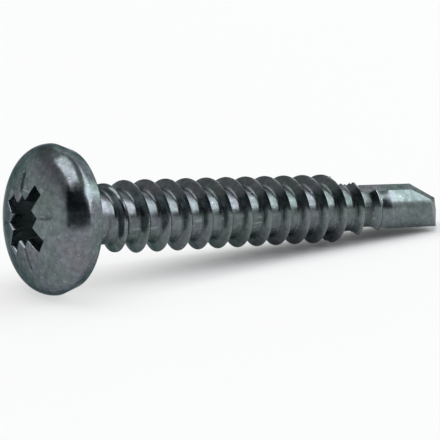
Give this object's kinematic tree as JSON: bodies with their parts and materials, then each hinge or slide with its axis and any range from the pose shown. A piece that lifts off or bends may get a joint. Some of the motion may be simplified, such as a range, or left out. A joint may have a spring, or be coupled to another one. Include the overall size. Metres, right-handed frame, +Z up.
{
  "type": "self drilling screw",
  "caption": "Pan head self-drilling tapping screw with a cross recess, right-hand thread and a two-flute drill point, lying on its side.",
  "frame": {"origin": "centre of the bounding box's base, on the surface that the screw lies on", "axes": "+X along the length from the head towards the drill point, +Z up, away from the surface; the screw's own axis lies in the XZ plane and dips 5.9 degrees towards the point"},
  "size_m": [0.034, 0.0094, 0.0094],
  "materials": {
    "zinc_plated_steel": "dull grey zinc plating"
  },
  "bodies": {
    "root": {"screw": "zinc_plated_steel"}
  },
  "joints": []
}
